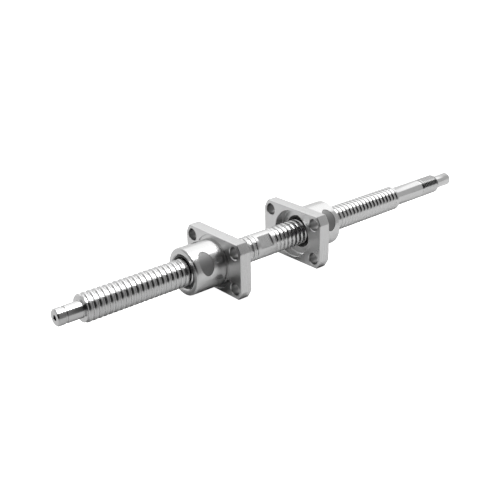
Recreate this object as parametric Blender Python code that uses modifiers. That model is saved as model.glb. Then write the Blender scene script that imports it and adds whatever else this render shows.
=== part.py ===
"""A bi-directional miniature ball screw with two flanged ball nuts.

The screw lies along X, with its axis on the origin and its middle at X = 0. One half of the
thread is left-hand and the other is right-hand, so the two nuts, which are mirror images of
each other, move apart or together as the screw turns. Stations are distances in millimetres
from the screw's left end. Angles are turned about +X, from +Y towards +Z.
"""

import math

import bmesh
import bpy
from mathutils import Matrix, Vector

MM = 0.001

# Screw
LENGTH = 197.5
THREAD_RADIUS = 5.0
LEAD = 2.0
GROOVE_HALF_WIDTH = 0.75
GROOVE_DEPTH = 0.8
THREAD_START = 9.0
THREAD_END = 160.0
LEFT_GROOVE_RANGE = (9.9, 81.2)
RIGHT_GROOVE_RANGE = (88.8, 159.0)
LEFT_GROOVE_STATION = 10.05
RIGHT_GROOVE_STATION = 123.91
GROOVE_ANGLE = 150.0
FADE_TURNS = 0.75
SCREW_SIDES = 12
SHOULDER_CHAMFER = 0.4
FLAT_RANGE = (82.0, 88.0)
FLAT_ANGLE = 141.0
ACROSS_FLATS = 8.6

# Ends of the screw
SUPPORT_RADIUS = 3.0
RING_GROOVE_RANGE = (2.6, 3.4)
RING_GROOVE_RADIUS = 2.75
BEARING_RADIUS = 3.95
LOCKNUT_THREAD_START = 177.5
LOCKNUT_THREAD_END = 187.5
RELIEF_WIDTH = 0.8
RELIEF_RADIUS = 3.45
DRIVE_RADIUS = 2.75
END_CHAMFER = 0.4
CENTRE_HOLE_RADIUS = 1.1
CENTRE_HOLE_DEPTH = 1.6

# Nuts
NUT_LENGTH = 18.2
NUT_RADIUS = 8.75
LEFT_FREE_END = 49.6
RIGHT_FREE_END = 119.6
NUT_CHAMFER = 0.4
FLANGE_THICKNESS = 4.8
FLANGE_HALF_WIDTH = 15.75
FLANGE_HALF_HEIGHT = 10.5
FLANGE_BLANK_RADIUS = 17.3
FLANGE_EDGE_BEVEL = 0.3
BOLT_Y = 12.0
BOLT_Z = 6.9
BOLT_HOLE_RADIUS = 2.25
FACE_RELIEF_RADIUS = 10.0
FACE_RELIEF_DEPTH = 0.4
COUNTERBORE_RADIUS = 9.15
COUNTERBORE_DEPTH = 3.6
NUT_BORE_RADIUS = 5.35
NUT_GROOVE_HALF_WIDTH = 0.8
NUT_GROOVE_DEPTH = 0.9
NUT_SIDES = 24

# Wipers
SEAT_RADIUS = 6.3
SEAT_DEPTH = 1.9
SEAT_MOUTH = 0.4
WIPER_WIDTH = 1.3
WIPER_INNER_RADIUS = 5.15
WIPER_OUTER_RADIUS = 6.1
WIPER_LIP_HEIGHT = 0.35
WIPER_LIP_WIDTH = 0.26

# Ball circuits
BALL_RADIUS = 0.58
BALL_CIRCLE_RADIUS = 5.15
BALL_LIFT = 0.75
BALL_SIDES = 6
BALLS_LOADED = 22
BALLS_RETURNING = 5
CIRCUITS = 3
CIRCUIT_TURN = -120.0
CIRCUIT_SPACING = LEAD * 4.0 / 3.0
CROSSING_HALF_ANGLE = 13.0
LIFT_HALF_ANGLE = 38.0

# Deflectors
DEFLECTOR_ANGLE = 150.0
DEFLECTOR_FROM_FREE_END = 5.05
DEFLECTOR_HALF_LENGTH = 2.8
DEFLECTOR_HALF_WIDTH = 4.35
DEFLECTOR_INNER_RADIUS = 6.75
DEFLECTOR_RECESS = 0.1
DEFLECTOR_SIDES = 28
POCKET_CLEARANCE = 0.1
POCKET_FLOOR = 3.0
POCKET_TOP = 10.0

EDGE_MERGE = 0.00001
AXIS_TURN = Matrix.Rotation(math.radians(90.0), 4, "Y")


def clear_scene():
    for item in list(bpy.data.objects):
        bpy.data.objects.remove(item, do_unlink=True)


def new_collection(name):
    group = bpy.data.collections.new(name)
    bpy.context.scene.collection.children.link(group)
    return group


def make_material(name, colour, roughness, metallic):
    material = bpy.data.materials.new(name)
    material.use_nodes = True
    shader = material.node_tree.nodes["Principled BSDF"]
    shader.inputs["Base Color"].default_value = (*colour, 1.0)
    shader.inputs["Roughness"].default_value = roughness
    shader.inputs["Metallic"].default_value = metallic
    return material


def world_x(station):
    return (station - LENGTH / 2.0) * MM


def polar(station, radius, degrees):
    angle = math.radians(degrees)
    return Vector((world_x(station), radius * MM * math.cos(angle), radius * MM * math.sin(angle)))


def place(name, mesh, group, matrix=None):
    item = bpy.data.objects.new(name, mesh)
    group.objects.link(item)
    if matrix is not None:
        item.matrix_world = matrix
    return item


def finish_part(item, material, parent):
    item.data.materials.clear()
    item.data.materials.append(material)
    item.parent = parent
    item.matrix_parent_inverse = parent.matrix_world.inverted()


def hide_cutter(item):
    item.hide_render = True
    item.display_type = "WIRE"
    return item


def smooth(mesh):
    mesh.shade_smooth()
    mesh.set_sharp_from_angle(angle=math.radians(30.0))


def turned(name, group, outline, sides, closed=False):
    """A turned shape about the X axis; outline is (station, radius) from right to left."""
    mesh = bpy.data.meshes.new(name)
    points = [(radius * MM, 0.0, world_x(station)) for station, radius in outline]
    edges = [(index, index + 1) for index in range(len(points) - 1)]
    if closed:
        edges.append((len(points) - 1, 0))
    mesh.from_pydata(points, edges, [])
    item = place(name, mesh, group, AXIS_TURN)
    screw = item.modifiers.new("Turn", "SCREW")
    screw.axis = "Z"
    screw.steps = sides
    screw.render_steps = sides
    screw.use_merge_vertices = True
    screw.merge_threshold = EDGE_MERGE
    screw.use_smooth_shade = False
    return item


def boolean(item, cutter, operation):
    modifier = item.modifiers.new(f"{operation.title()} {cutter.name}", "BOOLEAN")
    modifier.operation = operation
    modifier.solver = "EXACT"
    modifier.object = cutter


def smoothstep(value):
    value = min(1.0, max(0.0, value))
    return value * value * (3.0 - 2.0 * value)


class Groove:
    """A helical groove: where it is centred, which hand it has and how far it runs."""

    def __init__(self, station, hand, start, end, half_width, depth):
        self.station = station
        self.hand = hand
        self.start = start
        self.end = end
        self.half_width = half_width
        self.depth = depth

    def centre(self, turn, degrees):
        return self.station + LEAD * (turn + self.hand * (degrees - GROOVE_ANGLE) / 360.0)

    def rows(self, radius, degrees):
        """The (station, radius) points of the groove's turns along the line at one angle."""
        first = math.floor((self.start - self.station) / LEAD) - 2
        last = math.ceil((self.end - self.station) / LEAD) + 2
        points = []
        for turn in range(first, last + 1):
            centre = self.centre(turn, degrees)
            inside = min(centre - self.start, self.end - centre) / (LEAD * FADE_TURNS)
            depth = self.depth * smoothstep(inside)
            for offset, share in ((-self.half_width, 0.0), (0.0, 1.0), (self.half_width, 0.0)):
                station = min(self.end, max(self.start, centre + offset))
                points.append((station, radius - depth * share))
        return points


def revolved_grid(name, line_at, sides):
    """A closed skin through the (station, radius) lines that line_at gives at each angle.

    Points of neighbouring lines are joined in order. A helical line's points have moved on by
    one turn after a full circle, so every point is looked up by its own place on its line.
    """
    builder = bmesh.new()
    corners = {}

    def corner(column, point):
        station, radius = point
        if radius <= 0.0:
            key = ("axis", round(station, 5))
        else:
            key = (column % sides, round(station, 5), round(radius, 5))
        if key not in corners:
            corners[key] = builder.verts.new(polar(station, radius, 360.0 * column / sides))
        return corners[key]

    for column in range(sides):
        here = [corner(column, point) for point in line_at(360.0 * column / sides)]
        there = [corner(column + 1, point) for point in line_at(360.0 * (column + 1) / sides)]
        for index in range(len(here) - 1):
            ring = [here[index], here[index + 1], there[index + 1], there[index]]
            face = [vertex for count, vertex in enumerate(ring) if vertex not in ring[:count]]
            if len(face) > 2:
                builder.faces.new(face)
    bmesh.ops.recalc_face_normals(builder, faces=builder.faces)
    mesh = bpy.data.meshes.new(name)
    builder.to_mesh(mesh)
    builder.free()
    return mesh


def screw_line(left_groove, right_groove):
    """Gives the screw's outline at an angle, from its left end to its right end."""
    ring_start, ring_end = RING_GROOVE_RANGE
    bearing_start = LOCKNUT_THREAD_START - RELIEF_WIDTH
    left_end = [
        (CENTRE_HOLE_DEPTH, 0.0),
        (0.0, CENTRE_HOLE_RADIUS),
        (0.0, SUPPORT_RADIUS - END_CHAMFER),
        (END_CHAMFER, SUPPORT_RADIUS),
        (ring_start, SUPPORT_RADIUS),
        (ring_start, RING_GROOVE_RADIUS),
        (ring_end, RING_GROOVE_RADIUS),
        (ring_end, SUPPORT_RADIUS),
        (THREAD_START, SUPPORT_RADIUS),
        (THREAD_START, THREAD_RADIUS - SHOULDER_CHAMFER),
        (THREAD_START + SHOULDER_CHAMFER, THREAD_RADIUS),
    ]
    right_end = [
        (THREAD_END - SHOULDER_CHAMFER, THREAD_RADIUS),
        (THREAD_END, THREAD_RADIUS - SHOULDER_CHAMFER),
        (THREAD_END, BEARING_RADIUS),
        (bearing_start, BEARING_RADIUS),
        (bearing_start, RELIEF_RADIUS),
        (LOCKNUT_THREAD_START, RELIEF_RADIUS),
        (LOCKNUT_THREAD_START, BEARING_RADIUS),
        (LOCKNUT_THREAD_END - END_CHAMFER, BEARING_RADIUS),
        (LOCKNUT_THREAD_END, BEARING_RADIUS - END_CHAMFER),
        (LOCKNUT_THREAD_END, DRIVE_RADIUS),
        (LENGTH - END_CHAMFER, DRIVE_RADIUS),
        (LENGTH, DRIVE_RADIUS - END_CHAMFER),
        (LENGTH, CENTRE_HOLE_RADIUS),
        (LENGTH - CENTRE_HOLE_DEPTH, 0.0),
    ]

    def line_at(degrees):
        left = left_groove.rows(THREAD_RADIUS, degrees)
        right = right_groove.rows(THREAD_RADIUS, degrees)
        return left_end + left + right + right_end

    return line_at


def make_screw(group, cutters, grooves, material, parent):
    mesh = revolved_grid("screw_shaft", screw_line(*grooves), SCREW_SIDES)
    smooth(mesh)
    shaft = place("screw_shaft", mesh, group)
    middle = sum(FLAT_RANGE) / 2.0
    length = FLAT_RANGE[1] - FLAT_RANGE[0]
    for side, turn in (("a", 0.0), ("b", 180.0)):
        block = bmesh.new()
        bmesh.ops.create_cube(block, size=1.0)
        size = (length * MM, 2.2 * THREAD_RADIUS * MM, THREAD_RADIUS * MM)
        bmesh.ops.scale(block, vec=size, verts=block.verts)
        mesh = bpy.data.meshes.new(f"flat_cutter_{side}")
        block.to_mesh(mesh)
        block.free()
        cutter = place(mesh.name, mesh, cutters)
        angle = FLAT_ANGLE + turn
        cutter.location = polar(middle, ACROSS_FLATS / 2.0 + THREAD_RADIUS / 2.0, angle)
        cutter.rotation_euler = (math.radians(angle - 90.0), 0.0, 0.0)
        boolean(shaft, hide_cutter(cutter), "DIFFERENCE")
    finish_part(shaft, material, parent)


class Nut:
    """Stations along one nut, counted from its free end towards its flange."""

    def __init__(self, side, free_end, inward, groove):
        self.side = side
        self.free_end = free_end
        self.inward = inward
        self.groove = groove

    def station(self, depth):
        return self.free_end + self.inward * depth

    def outline(self, points):
        """A turned outline in stations from right to left, given from free end to flange."""
        line = [(self.station(depth), radius) for depth, radius in points]
        return line[::-1] if self.inward > 0 else line

    def deflector(self, circuit):
        """Station and angle of a circuit's deflector."""
        depth = DEFLECTOR_FROM_FREE_END + circuit * CIRCUIT_SPACING
        return self.station(depth), DEFLECTOR_ANGLE + circuit * CIRCUIT_TURN

    def crossing(self, circuit):
        """Station of the screw's crest that is nearest to a circuit's deflector."""
        station, degrees = self.deflector(circuit)
        base = self.groove.centre(0, degrees)
        return base + LEAD * (math.floor((station - base) / LEAD) + 0.5)


def flange_plate(nut, group):
    """The flange: a round blank with four sides cut flat."""
    corner_y = math.sqrt(FLANGE_BLANK_RADIUS**2 - FLANGE_HALF_HEIGHT**2)
    corner_z = math.sqrt(FLANGE_BLANK_RADIUS**2 - FLANGE_HALF_WIDTH**2)
    low = math.atan2(corner_z, FLANGE_HALF_WIDTH)
    high = math.atan2(FLANGE_HALF_HEIGHT, corner_y)
    steps = 4
    outline = []
    for quarter in range(4):
        span = (low, high) if quarter % 2 == 0 else (math.pi - high, math.pi - low)
        turn = math.pi * (quarter // 2)
        for step in range(steps + 1):
            angle = span[0] + (span[1] - span[0]) * step / steps + turn
            outline.append((math.cos(angle), math.sin(angle)))
    curve = bpy.data.curves.new(f"{nut.side}_flange_outline", "CURVE")
    curve.dimensions = "2D"
    curve.fill_mode = "BOTH"
    curve.extrude = FLANGE_THICKNESS / 2.0 * MM
    spline = curve.splines.new("POLY")
    spline.points.add(len(outline) - 1)
    for point, (across, up) in zip(spline.points, outline):
        scale = FLANGE_BLANK_RADIUS * MM
        point.co = (-up * scale, across * scale, 0.0, 1.0)
    spline.use_cyclic_u = True
    flat = place(curve.name, curve, group)
    centre = nut.station(NUT_LENGTH - FLANGE_THICKNESS / 2.0)
    flat.matrix_world = Matrix.Translation((world_x(centre), 0.0, 0.0)) @ AXIS_TURN
    bpy.context.view_layer.update()
    evaluated = flat.evaluated_get(bpy.context.evaluated_depsgraph_get())
    mesh = bpy.data.meshes.new_from_object(evaluated)
    mesh.name = f"{nut.side}_nut"
    builder = bmesh.new()
    builder.from_mesh(mesh)
    bmesh.ops.remove_doubles(builder, verts=builder.verts, dist=EDGE_MERGE)
    builder.to_mesh(mesh)
    builder.free()
    plate = place(mesh.name, mesh, group, flat.matrix_world.copy())
    bpy.data.objects.remove(flat, do_unlink=True)
    bevel = plate.modifiers.new("Edge bevel", "BEVEL")
    bevel.width = FLANGE_EDGE_BEVEL * MM
    bevel.segments = 1
    bevel.limit_method = "ANGLE"
    bevel.angle_limit = math.radians(60.0)
    return plate


def nut_body(nut, cutters):
    """The round body, with a root inside the flange."""
    root = NUT_LENGTH - FLANGE_THICKNESS + 1.0
    points = [(0.0, 0.0), (0.0, NUT_RADIUS - NUT_CHAMFER), (NUT_CHAMFER, NUT_RADIUS)]
    points += [(root, NUT_RADIUS), (root, 0.0)]
    return turned(f"{nut.side}_nut_body", cutters, nut.outline(points), NUT_SIDES)


def face_relief(nut, cutters):
    """The shallow turned relief in the flange's front face, round the body."""
    front = NUT_LENGTH - FLANGE_THICKNESS
    start = front - 1.0
    floor = front + FACE_RELIEF_DEPTH
    points = [(start, 0.0), (start, FACE_RELIEF_RADIUS), (floor, FACE_RELIEF_RADIUS), (floor, 0.0)]
    return turned(f"{nut.side}_face_relief", cutters, nut.outline(points), 2 * NUT_SIDES)


def bore_cutter(nut, cutters):
    """The plain bore, both wiper seats and the counterbore in the flange."""
    outside = 1.0
    floor = NUT_LENGTH - COUNTERBORE_DEPTH
    bore = NUT_BORE_RADIUS - 0.1
    points = [
        (-outside, 0.0),
        (-outside, SEAT_RADIUS + SEAT_MOUTH + outside),
        (SEAT_MOUTH, SEAT_RADIUS),
        (SEAT_DEPTH, SEAT_RADIUS),
        (SEAT_DEPTH, bore),
        (floor - SEAT_DEPTH, bore),
        (floor - SEAT_DEPTH, SEAT_RADIUS),
        (floor, SEAT_RADIUS),
        (floor, COUNTERBORE_RADIUS),
        (NUT_LENGTH + outside, COUNTERBORE_RADIUS),
        (NUT_LENGTH + outside, 0.0),
    ]
    return turned(f"{nut.side}_bore_cutter", cutters, nut.outline(points), NUT_SIDES)


def thread_cutter(nut, cutters):
    """The ball groove inside the nut, as a rod with a helical ridge."""
    ends = sorted(nut.station(depth) for depth in (1.0, NUT_LENGTH - COUNTERBORE_DEPTH - 1.0))
    ridge = Groove(nut.groove.station, nut.groove.hand, *ends, NUT_GROOVE_HALF_WIDTH, -NUT_GROOVE_DEPTH)

    def line_at(degrees):
        middle = ridge.rows(NUT_BORE_RADIUS, degrees)
        return [(ends[0], 0.0)] + middle + [(ends[1], 0.0)]

    name = f"{nut.side}_thread_cutter"
    return place(name, revolved_grid(name, line_at, SCREW_SIDES), cutters)


def bolt_cutter(nut, cutters, corner, across, up):
    drill = bmesh.new()
    bmesh.ops.create_cone(
        drill,
        cap_ends=True,
        segments=20,
        radius1=BOLT_HOLE_RADIUS * MM,
        radius2=BOLT_HOLE_RADIUS * MM,
        depth=2.0 * FLANGE_THICKNESS * MM,
    )
    mesh = bpy.data.meshes.new(f"{nut.side}_bolt_cutter_{corner}")
    drill.to_mesh(mesh)
    drill.free()
    item = place(mesh.name, mesh, cutters, AXIS_TURN)
    centre = nut.station(NUT_LENGTH - FLANGE_THICKNESS / 2.0)
    item.location = (world_x(centre), across * BOLT_Y * MM, up * BOLT_Z * MM)
    return item


def oval_prism(name, group, nut, circuit, clearance):
    """An upright oval block at a deflector's place, from inside the bore to past the body."""
    block = bmesh.new()
    bmesh.ops.create_cone(
        block, cap_ends=True, segments=DEFLECTOR_SIDES, radius1=1.0, radius2=1.0, depth=1.0
    )
    length = DEFLECTOR_HALF_LENGTH + clearance
    width = DEFLECTOR_HALF_WIDTH + clearance
    height = POCKET_TOP - POCKET_FLOOR
    bmesh.ops.scale(block, vec=(length * MM, width * MM, height * MM), verts=block.verts)
    mesh = bpy.data.meshes.new(name)
    block.to_mesh(mesh)
    block.free()
    item = place(name, mesh, group)
    station, degrees = nut.deflector(circuit)
    item.location = polar(station, (POCKET_TOP + POCKET_FLOOR) / 2.0, degrees)
    item.rotation_euler = (math.radians(degrees - 90.0), 0.0, 0.0)
    return item


def make_nut(nut, group, cutters, material, parent):
    plate = flange_plate(nut, group)
    boolean(plate, hide_cutter(face_relief(nut, cutters)), "DIFFERENCE")
    boolean(plate, hide_cutter(nut_body(nut, cutters)), "UNION")
    boolean(plate, hide_cutter(bore_cutter(nut, cutters)), "DIFFERENCE")
    boolean(plate, hide_cutter(thread_cutter(nut, cutters)), "DIFFERENCE")
    corners = [(across, up) for across in (1, -1) for up in (1, -1)]
    for corner, (across, up) in enumerate(corners):
        boolean(plate, hide_cutter(bolt_cutter(nut, cutters, corner, across, up)), "DIFFERENCE")
    for circuit in range(CIRCUITS):
        name = f"{nut.side}_pocket_{circuit + 1}"
        pocket = oval_prism(name, cutters, nut, circuit, POCKET_CLEARANCE)
        boolean(plate, hide_cutter(pocket), "DIFFERENCE")
    finish_part(plate, material, parent)


def make_deflectors(nut, group, cutters, material, parent):
    top = NUT_RADIUS - DEFLECTOR_RECESS
    ends = (1.0, NUT_LENGTH)
    points = [(ends[0], DEFLECTOR_INNER_RADIUS), (ends[0], top), (ends[1], top)]
    points.append((ends[1], DEFLECTOR_INNER_RADIUS))
    name = f"{nut.side}_deflector_shell"
    shell = hide_cutter(turned(name, cutters, nut.outline(points), 2 * NUT_SIDES, closed=True))
    for circuit in range(CIRCUITS):
        item = oval_prism(f"{nut.side}_deflector_{circuit + 1}", group, nut, circuit, 0.0)
        boolean(item, shell, "INTERSECT")
        finish_part(item, material, parent)


def make_wiper(nut, group, name, depth, material, parent):
    middle = WIPER_INNER_RADIUS + WIPER_LIP_HEIGHT
    points = [
        (depth, middle),
        (depth, WIPER_OUTER_RADIUS),
        (depth + WIPER_WIDTH, WIPER_OUTER_RADIUS),
        (depth + WIPER_WIDTH, middle),
        (depth + (WIPER_WIDTH + WIPER_LIP_WIDTH) / 2.0, WIPER_INNER_RADIUS),
        (depth + (WIPER_WIDTH - WIPER_LIP_WIDTH) / 2.0, WIPER_INNER_RADIUS),
    ]
    item = turned(f"{nut.side}_{name}", group, nut.outline(points), NUT_SIDES, closed=True)
    finish_part(item, material, parent)


def circuit_path(nut, circuit):
    """The closed path of a circuit's ball centres, as points and their outward directions."""
    hand = nut.groove.hand
    degrees = nut.deflector(circuit)[1]
    crossing = nut.crossing(circuit)
    places = []
    samples = 720
    for step in range(samples):
        swing = -180.0 + 360.0 * step / samples
        lift = smoothstep((LIFT_HALF_ANGLE - abs(swing)) / (LIFT_HALF_ANGLE - CROSSING_HALF_ANGLE))
        shift = smoothstep((swing / CROSSING_HALF_ANGLE + 1.0) / 2.0) - 0.5
        station = crossing + hand * LEAD * (swing / 360.0 - shift)
        places.append(polar(station, BALL_CIRCLE_RADIUS + BALL_LIFT * lift, degrees + swing))
    return places


def evenly_spaced(places, count):
    """Points at equal distances round a closed path, from half a step past its start."""
    lengths = [0.0]
    for index, point in enumerate(places):
        lengths.append(lengths[-1] + (places[(index + 1) % len(places)] - point).length)
    result = []
    index = 0
    for step in range(count):
        wanted = lengths[-1] * (step + 0.5) / count
        while lengths[index + 1] < wanted:
            index += 1
        share = (wanted - lengths[index]) / (lengths[index + 1] - lengths[index])
        result.append(places[index].lerp(places[(index + 1) % len(places)], share))
    return result


def bead_string(name, centres):
    """Touching balls as one closed skin: a waist where two balls meet, then a ball's equator."""
    builder = bmesh.new()
    waist = 0.35 * BALL_RADIUS * MM
    equator = BALL_RADIUS * MM

    def ring(middle, along, size):
        outward = Vector((0.0, middle.y, middle.z))
        outward = (outward - along * outward.dot(along)).normalized()
        side = along.cross(outward)
        corners = []
        for corner in range(BALL_SIDES):
            angle = 2.0 * math.pi * corner / BALL_SIDES
            spot = outward * math.cos(angle) + side * math.sin(angle)
            corners.append(builder.verts.new(middle + spot * size))
        return corners

    rings = []
    last = len(centres) - 1
    for index, centre in enumerate(centres):
        along = (centres[min(index + 1, last)] - centres[max(index - 1, 0)]).normalized()
        if index > 0:
            before = centres[index - 1]
            rings.append(ring((before + centre) / 2.0, (centre - before).normalized(), waist))
        rings.append(ring(centre, along, equator))
    reach = 0.95 * BALL_RADIUS * MM
    first_along = (centres[1] - centres[0]).normalized()
    last_along = (centres[last] - centres[last - 1]).normalized()
    tips = [builder.verts.new(centres[0] - first_along * reach)]
    tips.append(builder.verts.new(centres[last] + last_along * reach))
    for corner in range(BALL_SIDES):
        after = (corner + 1) % BALL_SIDES
        builder.faces.new((rings[0][corner], rings[0][after], tips[0]))
        builder.faces.new((rings[-1][corner], rings[-1][after], tips[1]))
        for near, far in zip(rings, rings[1:]):
            builder.faces.new((near[corner], near[after], far[after], far[corner]))
    bmesh.ops.recalc_face_normals(builder, faces=builder.faces)
    mesh = bpy.data.meshes.new(name)
    builder.to_mesh(mesh)
    builder.free()
    return mesh


def make_balls(nut, group, material, parent):
    """Each circuit's balls: those under load in the thread and those below the deflector."""
    total = BALLS_LOADED + BALLS_RETURNING
    first = (total - BALLS_RETURNING) // 2
    last = first + BALLS_RETURNING
    for circuit in range(CIRCUITS):
        centres = evenly_spaced(circuit_path(nut, circuit), total)
        returning = centres[first:last]
        loaded = centres[last:] + centres[:first]
        for kind, row in (("ball_row", loaded), ("return_balls", returning)):
            name = f"{nut.side}_{kind}_{circuit + 1}"
            item = place(name, bead_string(name, row), group)
            finish_part(item, material, parent)


def make_empty(name, group, station):
    item = bpy.data.objects.new(name, None)
    item.empty_display_size = THREAD_RADIUS * MM
    item.location = (world_x(station), 0.0, 0.0)
    group.objects.link(item)
    return item


def main():
    clear_scene()
    parts = new_collection("ball_screw")
    cutters = new_collection("cutters")
    steel = make_material("ground_steel", (0.72, 0.72, 0.73), 0.22, 1.0)
    nut_steel = make_material("nut_steel", (0.68, 0.69, 0.70), 0.26, 1.0)
    deflector_steel = make_material("deflector_steel", (0.23, 0.24, 0.25), 0.5, 0.9)
    wiper_plastic = make_material("wiper_plastic", (0.06, 0.06, 0.065), 0.55, 0.0)
    ball_steel = make_material("ball_steel", (0.8, 0.8, 0.81), 0.08, 1.0)

    axis = make_empty("screw_axis", parts, LENGTH / 2.0)
    seats = {
        "left": make_empty("left_nut_frame", parts, LEFT_FREE_END + NUT_LENGTH),
        "right": make_empty("right_nut_frame", parts, RIGHT_FREE_END - NUT_LENGTH),
    }
    bpy.context.view_layer.update()

    shape = (GROOVE_HALF_WIDTH, GROOVE_DEPTH)
    left_groove = Groove(LEFT_GROOVE_STATION, -1, *LEFT_GROOVE_RANGE, *shape)
    right_groove = Groove(RIGHT_GROOVE_STATION, 1, *RIGHT_GROOVE_RANGE, *shape)
    make_screw(parts, cutters, (left_groove, right_groove), steel, axis)

    left = Nut("left", LEFT_FREE_END, 1, left_groove)
    right = Nut("right", RIGHT_FREE_END, -1, right_groove)
    inner_wiper = NUT_LENGTH - COUNTERBORE_DEPTH - (SEAT_DEPTH + WIPER_WIDTH) / 2.0
    outer_wiper = (SEAT_DEPTH - WIPER_WIDTH) / 2.0
    for nut in (left, right):
        frame = seats[nut.side]
        make_nut(nut, parts, cutters, nut_steel, frame)
        make_deflectors(nut, parts, cutters, deflector_steel, frame)
        make_balls(nut, parts, ball_steel, frame)
        make_wiper(nut, parts, "outer_wiper", outer_wiper, wiper_plastic, frame)
        make_wiper(nut, parts, "inner_wiper", inner_wiper, wiper_plastic, frame)


main()
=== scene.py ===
"""Looks of the bi-directional ball screw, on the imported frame.

Lengths are in millimetres unless a comment says metres. A station is the distance from the
screw's left end along +X. Angles are in degrees, turned about +X, from +Y towards +Z.
"""

import math

import bmesh
import bpy
from mathutils import Matrix, Vector


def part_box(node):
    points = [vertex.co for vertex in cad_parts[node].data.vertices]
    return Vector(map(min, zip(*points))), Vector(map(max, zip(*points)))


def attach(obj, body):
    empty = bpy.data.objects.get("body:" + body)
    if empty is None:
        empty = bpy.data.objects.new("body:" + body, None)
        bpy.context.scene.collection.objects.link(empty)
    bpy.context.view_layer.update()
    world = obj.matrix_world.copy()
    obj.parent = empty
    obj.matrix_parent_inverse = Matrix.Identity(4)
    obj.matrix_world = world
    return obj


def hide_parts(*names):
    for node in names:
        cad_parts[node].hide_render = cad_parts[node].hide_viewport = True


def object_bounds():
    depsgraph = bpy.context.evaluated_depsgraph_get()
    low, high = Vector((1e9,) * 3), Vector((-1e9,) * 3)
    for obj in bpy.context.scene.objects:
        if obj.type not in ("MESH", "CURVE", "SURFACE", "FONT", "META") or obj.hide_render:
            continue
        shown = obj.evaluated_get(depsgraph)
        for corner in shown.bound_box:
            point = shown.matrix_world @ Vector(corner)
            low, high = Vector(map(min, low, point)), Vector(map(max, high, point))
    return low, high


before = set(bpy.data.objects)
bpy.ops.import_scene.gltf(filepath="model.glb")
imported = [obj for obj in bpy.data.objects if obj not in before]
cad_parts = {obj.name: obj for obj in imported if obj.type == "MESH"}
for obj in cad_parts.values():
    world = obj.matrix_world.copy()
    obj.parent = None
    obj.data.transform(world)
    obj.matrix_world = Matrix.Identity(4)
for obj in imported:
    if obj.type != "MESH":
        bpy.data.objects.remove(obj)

CAD_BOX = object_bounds()
MM = 0.001
CIRCUITS = 3
SIDES = ("left", "right")


def corner_mm(node):
    low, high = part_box(node)
    return low / MM, high / MM


SCREW_LOW, SCREW_HIGH = corner_mm("screw_shaft")
NUT_BOX = {side: corner_mm(f"{side}_nut") for side in SIDES}
LENGTH = SCREW_HIGH.x - SCREW_LOW.x
THREAD_RADIUS = SCREW_HIGH.y

# Ball thread; a groove's fade is the part of a turn over which it runs in and out
LEAD = 2.0
THREAD_START = 9.0
THREAD_END = 160.0
THREAD_CHAMFER = 0.45
LEFT_GROOVE = {"station": 10.05, "hand": -1, "range": (THREAD_START, 81.2), "open": True}
RIGHT_GROOVE = {"station": 123.91, "hand": 1, "range": (88.8, 159.0), "open": False}
GROOVE_ANGLE = 150.0
GROOVE_ARC_RADIUS = 0.66
GROOVE_ARC_STEPS = 8
GROOVE_BROKEN_EDGE = 0.05
GROOVE_FADE = 0.75
BALL_CIRCLE_RADIUS = 5.15
FLAT_RANGE = (82.0, 88.0)
FLAT_ANGLE = 141.0
ACROSS_FLATS = 8.6
SCREW_COLUMNS = 96

# Ends of the screw
SUPPORT_RADIUS = 3.0
RING_GROOVE_RANGE = (2.6, 3.4)
RING_GROOVE_RADIUS = 2.75
RING_GROOVE_EDGE = 0.08
SHOULDER_FILLET = 0.15
SHOULDER_STEPS = 3
BEARING_RADIUS = 3.95
RELIEF_WIDTH = 0.8
RELIEF_RADIUS = 3.45
RELIEF_EDGE = 0.15
RELIEF_SLOPE = 0.1
LOCKNUT_THREAD = (177.5, 187.5)
LOCKNUT_PITCH = 1.0
LOCKNUT_THREAD_DEPTH = 0.55
LOCKNUT_RUN_IN = 0.35
LOCKNUT_CHAMFER = 0.45
LOCKNUT_FADE = 0.3
LOCKNUT_GROOVE = {
    "station": LOCKNUT_THREAD[0] + LOCKNUT_PITCH / 2.0,
    "hand": 1,
    "range": (LOCKNUT_THREAD[0] + LOCKNUT_RUN_IN, LOCKNUT_THREAD[1] - LOCKNUT_RUN_IN),
    "open": False,
}
DRIVE_RADIUS = 2.75
DRIVE_FILLET = 0.1
DRIVE_TIP = ((0.5, 0.0), (0.15, 0.2), (0.0, 0.55))
END_CHAMFER = 0.4
CENTRE_HOLE_RADIUS = 1.1
CENTRE_HOLE_DEPTH = 1.6
CENTRE_HOLE_TIP = 1.9
CENTRE_HOLE_EDGE = 0.15
CENTRE_HOLE_TAPER = 0.2

# Nuts
NUT_LENGTH = NUT_BOX["left"][1].x - NUT_BOX["left"][0].x
FLANGE_HALF_WIDTH = NUT_BOX["left"][1].y
FLANGE_HALF_HEIGHT = NUT_BOX["left"][1].z
NUT_RADIUS = 8.75
NUT_CHAMFER = 0.45
NUT_CHAMFER_RUN = 0.3
NUT_ROUNDING = 0.12
FLANGE_THICKNESS = 4.8
FLANGE_BLANK_RADIUS = 17.3
FLANGE_CORNER_STEPS = 12
FLANGE_EDGE_BEVEL = 0.35
BOLT_Y = 12.0
BOLT_Z = 6.9
BOLT_HOLE_RADIUS = 2.25
BOLT_HOLE_CHAMFER = 0.25
FACE_RELIEF_RADIUS = 10.0
FACE_RELIEF_DEPTH = 0.4
FACE_RELIEF_EDGE = 0.1
COUNTERBORE_RADIUS = 9.15
COUNTERBORE_DEPTH = 3.6
NUT_BORE_RADIUS = 5.35
NUT_BORE_EDGE = 0.2
NUT_GROOVE_STEPS = 6
NUT_GROOVE_MARGIN = 1.0
SEAT_RADIUS = 6.3
SEAT_DEPTH = 1.9
SEAT_MOUTH = 0.4
NUT_SEGMENTS = 160
BOLT_HOLE_SEGMENTS = 48
NUT_GROOVE_COLUMNS = 64
OVERSHOOT = 1.0

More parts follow.
